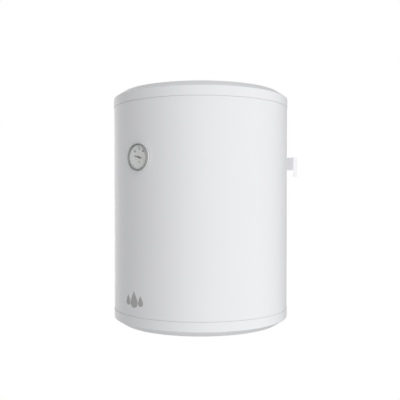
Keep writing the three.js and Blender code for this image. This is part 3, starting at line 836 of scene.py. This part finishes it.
def screwParts(head, length):
    # head down at z = 0, threaded shank upwards, and the two bars of its cross recess
    shank, top, end = screwLook["shank"], screwLook["headHeight"], length - screwLook["point"]
    line = [[0, 0], [head * 0.55, 0.12], [head, top / 2, 0.5], [head, top, 0.12], [shank, top]]
    z, core = screwLook["threadStart"], shank - screwLook["thread"]
    while z + screwLook["pitch"] < end:
        line += [[core, z], [shank, z + screwLook["pitch"] / 2]]
        z += screwLook["pitch"]
    line += [[core, end], [0, length]]
    half, wide, deep = screwLook["crossLength"] / 2, screwLook["crossWidth"] / 2, screwLook["crossDepth"]
    bars = [boxed((-half, -wide, -1), (half, wide, deep)), boxed((-wide, -half, -1), (wide, half, deep))]
    return spun(line, 32, False, 3), bars


def makeScrews():
    for node in lidScrews:
        low, high = local(node)
        body, bars = screwParts((high[0] - low[0]) / 2, high[2] - low[2])
        place = (*centre(node)[:2], low[2])
        for part in (body, *bars):
            shift(turn(part, centre(node)[0] * 3 + 20, "Z"), *place)
        piece(body, node + "_detail", "screwZinc", node, cuts=bars)
    for node in spacerScrews:
        low, high = local(node)
        body, bars = screwParts((high[0] - low[0]) / 2, high[1] - low[1])
        place = (centre(node)[0], high[1], centre(node)[2])
        for part in (body, *bars):
            shift(turn(turn(part, centre(node)[0] + 10, "Z"), 90, "X"), *place)
        piece(body, node + "_detail", "screwZinc", node, cuts=bars)


makeLid()
makeScrews()
print("service lid and screws made")


# Dial thermometer on the front.

dialLook = {
    "steps": 96, "lipRadius": 27.9, "ringRadius": 31.5, "ringSlope": 0.9, "baseDrop": 6.0,
    "cupOuter": 28.1, "cupInner": 27.7, "cupFloor": 1.5, "cardRadius": 27.4, "cardEye": 1.3,
    "throat": 28.5, "seat": 212.0,
    "stubRadius": 3.0, "stubHeight": 4.0, "stubBore": 1.15,
    "capillaryHole": 1.7, "capillarySide": 10.0, "capillaryDrop": 8.0,
    "startAngle": 225.0, "sweep": 270.0, "fullScale": 120, "ticks": 13, "labels": (40, 60, 80),
    "tickOuter": 25.8, "tickMajor": 3.6, "tickMinor": 2.0, "tickWidth": 0.55, "majorWidth": 1.3,
    "numberCircle": 19.0, "numberSize": 6.8, "bold": 0.2, "film": 0.12,
    "unitDrop": 11.5, "unitSize": 5.6,
    "tip": 15.0, "tail": 9.5, "tipHalf": 0.9, "tailHalf": 2.0, "blade": 0.7, "bladeBack": 0.5,
    "arbor": 0.8, "hub": 2.8, "rest": 15.0,
}
gaugeFront = -local("gauge_bezel")[0][1]
dialFace = -local("gauge_dial")[0][1]


def facingFront(bm):
    # from an axis along Z to the gauge's axis, with its top towards the front
    return shift(turn(bm, 90, "X"), z=gaugeMiddle[2])


def makeBezel():
    # a pale base ring on the casing with the darker front ring standing on it
    radius, front = (local("gauge_bezel")[1][0] - local("gauge_bezel")[0][0]) / 2, gaugeFront
    outer, lip, step = dialLook["ringRadius"], dialLook["lipRadius"], gaugeFront - dialLook["baseDrop"]
    throat, seat = dialLook["throat"], dialLook["seat"]
    base = spun([[throat, seat], [radius, seat], [radius, step, 0.7], [outer + 0.1, step],
                 [outer - 0.6, step - 0.4], [throat, step - 0.4]], dialLook["steps"])
    skin = shift(rod(casingRadius + 0.3, -60, 60, 192), z=gaugeMiddle[2])
    piece(facingFront(base), "gauge_bezel_base", "trim", cuts=(skin,))
    ring = spun([[throat, step - 0.3], [outer, step - 0.3],
                 [outer - dialLook["ringSlope"], front - 0.8, 0.4], [outer - 2.0, front, 0.5],
                 [lip, front - 1.4, 0.4], [lip, front - 3], [throat, front - 3]], dialLook["steps"])
    piece(facingFront(ring), "gauge_bezel_ring", "chrome", "gauge_bezel")


def makeCup():
    # housing behind the dial, with the needle's bearing stub and the capillary's hole
    back, rim = -local("gauge_housing")[1][1], -local("gauge_housing")[0][1]
    outer, inner, floor = dialLook["cupOuter"], dialLook["cupInner"], back + dialLook["cupFloor"]
    stub, bore, top = dialLook["stubRadius"], dialLook["stubBore"], floor + dialLook["stubHeight"]
    cup = spun([[0, back], [outer, back, 0.4], [outer, rim, 0.15], [inner, rim, 0.15],
                [inner, floor, 0.5], [stub, floor], [stub, top, 0.3], [bore, top],
                [bore, back + 1], [0, back + 1]], 64, False)
    hole = crossRod(dialLook["capillaryHole"], back - 5, floor + 5, 16)
    shift(hole, dialLook["capillarySide"], z=gaugeMiddle[2] - dialLook["capillaryDrop"])
    piece(facingFront(cup), "gauge_cup", "whitePlastic", "gauge_housing", cuts=(hole,))


def makeDial():
    radius, eye = dialLook["cardRadius"], dialLook["cardEye"]
    disc = spun([[eye, dialFace - 1], [radius, dialFace - 1], [radius, dialFace, 0.2], [eye, dialFace]], 96)
    piece(facingFront(disc), "gauge_dial_card", "dial", "gauge_dial")


def printed(text, size, x, z):
    # flat lettering on the dial as a thin film, centred on x and z
    curve = bpy.data.curves.new("number", "FONT")
    curve.body, curve.size, curve.align_x, curve.align_y = text, size, "CENTER", "CENTER"
    curve.extrude, curve.offset = dialLook["film"] / 2, dialLook["bold"]
    source = bpy.data.objects.new("number", curve)
    scene.collection.objects.link(source)
    graph = bpy.context.evaluated_depsgraph_get()
    flat = bpy.data.meshes.new_from_object(source.evaluated_get(graph))
    bm = bmesh.new()
    bm.from_mesh(flat)
    bpy.data.objects.remove(source)
    bpy.data.meshes.remove(flat)
    bmesh.ops.remove_doubles(bm, verts=bm.verts, dist=1e-4)
    return shift(turn(bm, 90, "X"), x, -dialFace - dialLook["film"] / 2, gaugeMiddle[2] + z)


def makeScale():
    marks = []
    for k in range(dialLook["ticks"]):
        share = k / (dialLook["ticks"] - 1)
        angle = dialLook["startAngle"] - dialLook["sweep"] * share
        major = k % 2 == 0
        length = dialLook["tickMajor"] if major else dialLook["tickMinor"]
        half = dialLook["tickWidth"] / 2 * (dialLook["majorWidth"] if major else 1.0)
        outer = dialLook["tickOuter"]
        tick = boxed((outer - length, -dialLook["film"], -half), (outer, 0.05, half))
        marks.append(shift(turn(tick, -angle, "Y"), y=-dialFace, z=gaugeMiddle[2]))
        if major:
            reach, turnBy = dialLook["numberCircle"], math.radians(angle)
            value = round(dialLook["fullScale"] * share)
            if value in dialLook["labels"]:
                marks.append(printed(str(value), dialLook["numberSize"], reach * math.cos(turnBy),
                                     reach * math.sin(turnBy)))
    marks.append(printed("°C", dialLook["unitSize"], 0.0, -dialLook["unitDrop"]))
    piece(merged(*marks), "gauge_scale_print", "ink")


def makeNeedle():
    front = -local("gauge_needle")[0][1]
    tip, tail = dialLook["tip"], dialLook["tail"]
    outline = [(-tip, -dialLook["tipHalf"]), (tail, -dialLook["tailHalf"]), (tail, dialLook["tailHalf"]),
               (-tip, dialLook["tipHalf"])]
    blade = shift(prism(outline, dialLook["blade"]), y=-front + dialLook["bladeBack"])
    bevelled(blade, blade.edges[:], 0.12)
    shift(turn(blade, dialLook["rest"], "Y"), z=gaugeMiddle[2])
    low = -local("gauge_needle")[1][1]
    thin, hub = dialLook["arbor"], dialLook["hub"]
    arbor = spun([[0, low], [thin, low], [thin, front - 1.2], [hub, front - 1.2, 0.2],
                  [hub, front - 0.4, 0.3], [0, front]], 40, False)
    piece(merged(blade, facingFront(arbor)), "gauge_pointer", "needle", "gauge_needle",
          body="gauge_needle")


def makeLens():
    low, high = local("gauge_lens")
    radius, back, front = (high[0] - low[0]) / 2, -high[1], -low[1]
    pane = spun([[0, back], [radius, back, 0.2], [radius, front - 0.4, 0.3],
                 [radius * 0.6, front - 0.12], [0, front]], 96, False)
    piece(facingFront(pane), "gauge_window", "window", "gauge_lens")


makeBezel()
makeCup()
makeDial()
makeScale()
makeNeedle()
makeLens()
print("thermometer made")


# Hook plate and lower spacer.

hookLook = {"thickness": 2.5, "bend": 3.0, "topFold": 14.0, "legDrop": 17.5, "legCorner": 5.0, "edge": 0.3,
            "weldX": 8.0, "weldZ": 8.0, "weldRadius": 2.6, "weldDepth": 0.35}


def makeHookPlate():
    (left, front, foot), (right, wall, top) = local("hook_plate")
    t, low = hookLook["thickness"], foot + hookLook["legDrop"]
    body = boxed((left, front, foot - 60), (right, wall + 60, top))
    bent = [edge for edge in body.edges if all(v.co.y < front + 1 for v in edge.verts)
            and not all(v.co.z < foot for v in edge.verts)]
    bevelled(body, bent, hookLook["bend"], 5)
    hollow = boxed((left + t, front + t, foot - 80), (right - t, wall + 80, top - t), 0.6, 2)
    below = boxed((left + t, front - 10, foot - 80), (right - t, front + 10, low))
    behind = boxed((left + t, front + hookLook["topFold"], top - 8), (right - t, wall + 80, top + 5))
    beyond = boxed((left - 5, wall, foot - 90), (right + 5, wall + 90, top + 5))
    corner, edge = hookLook["legCorner"], foot + hookLook["legCorner"] + 2
    outline = roundedLine([[front - 9, edge], [front, edge], [front, foot, corner], [wall, foot, corner],
                           [wall, edge], [wall + 9, edge], [wall + 9, foot - 90], [front - 9, foot - 90]])
    feet = turn(prism([(p.x, p.y) for p in outline], right - left + 20), 90, "Z")
    shift(feet, x=right + 10)
    welds = []
    for side in (-1, 1):
        for dx in (-hookLook["weldX"], hookLook["weldX"]):
            for dz in (-hookLook["weldZ"], hookLook["weldZ"]):
                mark = crossRod(hookLook["weldRadius"], front + t - hookLook["weldDepth"], front + t + 1, 20)
                welds.append(shift(mark, side * armX + dx, z=(low + top) / 2 + dz))
    piece(body, "hook_plate_sheet", "zinc", "hook_plate",
          cuts=(hollow, below, behind, beyond, feet, *welds), soften=hookLook["edge"])


spacerLook = {
    "front": 208.0, "corner": 2.5, "groove": 9.0, "grooveDepth": 2.0,
    "screwHole": 2.3, "counterbore": 6.0, "seat": 224.0,
    "pocketPitch": 5.5, "pocketHalf": 1.9, "pocketFloor": 234.0,
}


def makeSpacer():
    low, high = local("lower_spacer")
    middle = centre("lower_spacer")[2]
    body = boxed((low[0], spacerLook["front"], low[2]), (high[0], high[1], high[2]), spacerLook["corner"], 4)
    curve = rod(casingRadius + 0.6, low[2] - 5, high[2] + 5, 256)
    groove = boxed((-spacerLook["groove"], 200, low[2] - 5),
                   (spacerLook["groove"], casingRadius + spacerLook["grooveDepth"] + 0.5, high[2] + 5))
    holes = []
    for node in spacerScrews:
        x = centre(node)[0]
        holes.append(shift(crossRod(spacerLook["screwHole"], 200, 260, 24), x, z=middle))
        holes.append(shift(crossRod(spacerLook["counterbore"], spacerLook["seat"], 260, 40), x, z=middle))
    half, floor = spacerLook["pocketHalf"], spacerLook["pocketFloor"]
    pockets = [boxed((x - half, floor, low[2] + 5), (x + half, 260, high[2] - 5), 0.5)
               for x in (-spacerLook["pocketPitch"], 0, spacerLook["pocketPitch"])]
    piece(body, "lower_spacer_block", "whitePlastic", "lower_spacer",
          cuts=(curve, groove, *holes, *pockets), soften=0.25)


makeHookPlate()
makeSpacer()
print("hook plate and spacer made")


# Pipe nipples, collars and the cable gland.

pipeLook = {"bore": 7.5, "pitch": 1.81, "threadDepth": 1.1, "threads": 12, "chamfer": 1.4,
            "crest": (0.45, 0.55)}
collarLook = {"bore": 10.9, "stem": 13.6, "rim": -1.8, "seat": -0.3}
glandLook = {
    "bore": 4.5, "nose": 6.6, "nut": 9.0, "nutLow": -14.6, "nutHigh": -8.0,
    "flutes": 12, "fluteDepth": 0.7, "fluteFrom": 7.5,
    "hexRadius": 12.0, "hexHeight": 7.4, "hexMiddle": -4.1, "stem": 9.6,
}


def makePipe(node, name):
    low, high = local(node)
    x, y = centre(node)[:2]
    radius, core = (high[0] - low[0]) / 2, (high[0] - low[0]) / 2 - pipeLook["threadDepth"]
    line = [[pipeLook["bore"], low[2], 0.3], [core - 0.3, low[2], 0.3]]
    start = low[2] + pipeLook["chamfer"]
    rise, fall = (pipeLook["pitch"] * share for share in pipeLook["crest"])
    for k in range(pipeLook["threads"]):
        turnZ = start + k * pipeLook["pitch"]
        line += [[core, turnZ], [radius, turnZ + rise], [radius, turnZ + fall]]
    line += [[core, start + pipeLook["threads"] * pipeLook["pitch"]],
             [radius, start + pipeLook["threads"] * pipeLook["pitch"] + 1.0], [radius, high[2], 0.4],
             [pipeLook["bore"], high[2], 0.4]]
    piece(shift(spun(line, 72, arcs=2), x, y), name, "steel", node)


def makeCollar(node, name, look):
    low, high = local(node)
    x, y = centre(node)[:2]
    outer = (high[0] - low[0]) / 2
    bore, stem, seat = collarLook["bore"], collarLook["stem"], collarLook["seat"]
    line = [[bore, low[2], 0.4], [outer - 1.4, low[2], 0.9], [outer, collarLook["rim"], 0.5],
            [outer, seat, 0.15], [stem, seat], [stem, high[2], 0.5], [bore, high[2], 0.4]]
    piece(shift(spun(line, 72, arcs=4), x, y), name, look, node)


def makeGland():
    low, high = local("cable_gland")
    x, y = centre("cable_gland")[:2]
    inner, wide = glandLook["bore"], glandLook["nut"]
    nut = spun([[inner, low[2], 0.6], [glandLook["nose"], low[2], 1.4], [wide, glandLook["nutLow"], 1.2],
                [wide, glandLook["nutHigh"]], [inner, glandLook["nutHigh"]]], 72, arcs=4)
    fluted(nut, glandLook["flutes"], glandLook["fluteDepth"], glandLook["fluteFrom"])
    seat, hexRadius = bmesh.new(), glandLook["hexRadius"]
    bmesh.ops.create_cone(seat, cap_ends=True, segments=6, radius1=hexRadius, radius2=hexRadius,
                          depth=glandLook["hexHeight"])
    shift(bevelled(seat, seat.edges[:], 0.5, 3), z=glandLook["hexMiddle"])
    stem = glandLook["stem"]
    neck = spun([[inner, -1], [stem, -1], [stem, high[2], 0.6], [inner, high[2], 0.6]], 48, arcs=3)
    bore = shift(rod(inner, low[2] - 5, high[2] + 5, 40), x, y)
    piece(shift(nut, x, y), "cable_gland_body", "blackPlastic", "cable_gland",
          cuts=(bore,), joins=(shift(seat, x, y), shift(neck, x, y)))


makePipe("cold_inlet_pipe", "cold_nipple")
makePipe("hot_outlet_pipe", "hot_nipple")
makeCollar("cold_collar", "cold_rosette", "bluePlastic")
makeCollar("hot_collar", "hot_rosette", "redPlastic")
makeGland()
print("pipes and gland made")


# Controls: knob, reset button and pilot lamp.

knobLook = {
    "steps": 192, "dish": 11.5, "lip": (13.0, 15.4), "shoulder": 17.4, "shoulderHeight": 4.0,
    "skirt": 1.6, "bore": 3.3, "boreEnd": -12.4, "flutes": 24, "fluteDepth": 0.7, "fluteFrom": 14.0,
    "pointerWidth": 1.6, "grooveDepth": 1.0, "groove": (-18.0, -5.5), "pointer": (-14.4, -5.8),
}
resetLook = {"nose": 2.2, "noseEdge": 2.9, "dish": 0.4, "stem": 4.0, "flange": 6.0, "flangeSpan": (0.6, 2.2)}
lampLook = {"tip": 2.6, "dome": 4.6, "neck": 5.6, "flange": 6.5, "flangeSpan": (-3.9, -2.8), "stem": 4.5}


def makeKnob():
    low, high = local("thermostat_knob")
    x, y = centre("thermostat_knob")[:2]
    face, rim, radius = low[2], high[2], (high[0] - low[0]) / 2
    dish, (lipIn, lipOut) = knobLook["dish"], knobLook["lip"]
    bore, end = knobLook["bore"], knobLook["boreEnd"]
    skirt = rim - knobLook["skirt"]
    grip = spun([[0, face + 0.5], [dish, face + 0.5, 1.0], [lipIn, face, 0.5], [lipOut, face, 1.2],
                 [knobLook["shoulder"], face + knobLook["shoulderHeight"], 3.0], [radius, skirt, 0.3],
                 [radius, rim, 0.2], [bore, rim], [bore, end], [0, end]], knobLook["steps"], False, 4)
    fluted(grip, knobLook["flutes"], knobLook["fluteDepth"], knobLook["fluteFrom"], skirt - 0.2)
    half, (far, near) = knobLook["pointerWidth"] / 2, knobLook["groove"]
    groove = boxed((-half, far, face - 2), (half, near, face + knobLook["grooveDepth"]), 0.3)
    piece(shift(grip, x, y), "thermostat_grip", "whitePlastic", "thermostat_knob",
          body="thermostat_knob", cuts=(shift(groove, x, y),))
    far, near = knobLook["pointer"]
    line = boxed((-half + 0.15, far, face + 0.75), (half - 0.15, near, face + 1.1), 0.1)
    piece(shift(line, x, y), "thermostat_pointer", "redPlastic", body="thermostat_knob")


def makeReset():
    low, high = local("reset_button")
    x, y = centre("reset_button")[:2]
    dish, stem, flange = low[2] + resetLook["dish"], resetLook["stem"], resetLook["flange"]
    under, over = resetLook["flangeSpan"]
    button = spun([[0, dish], [resetLook["nose"], dish, 0.8], [resetLook["noseEdge"], low[2], 0.3],
                   [stem, low[2], 0.8], [stem, under], [flange, under, 0.3], [flange, over, 0.3],
                   [stem, over], [stem, high[2], 0.5], [0, high[2]]], 48, False, 4)
    piece(shift(button, x, y), "reset_cap", "redPlastic", "reset_button", body="reset_button")


def makeLamp():
    low, high = local("pilot_lens")
    x, y = centre("pilot_lens")[:2]
    flange, stem, (under, over) = lampLook["flange"], lampLook["stem"], lampLook["flangeSpan"]
    cap = spun([[0, low[2]], [lampLook["tip"], low[2] + 0.3, 1.0], [lampLook["dome"], low[2] + 1.6, 1.4],
                [lampLook["neck"], under, 0.4], [flange, under, 0.4], [flange, over, 0.2],
                [stem, over], [stem, high[2], 0.3], [0, high[2]]], 64, False, 5)
    piece(shift(cap, x, y), "pilot_jewel", "amberPlastic", "pilot_lens")


makeKnob()
makeReset()
makeLamp()
print("controls made")


# The nodes that stay get their finish.

slotOf = {row["node"]: row["material_slot"] for row in frame["record"]["subparts"]}
for nodeName, slotName in slotOf.items():
    nodeMesh = frame["nodes"][nodeName].data
    nodeMesh.materials.clear()
    nodeMesh.materials.append(finish[slotFinish[slotName]])
print("carried-over nodes finished:", len(slotOf))
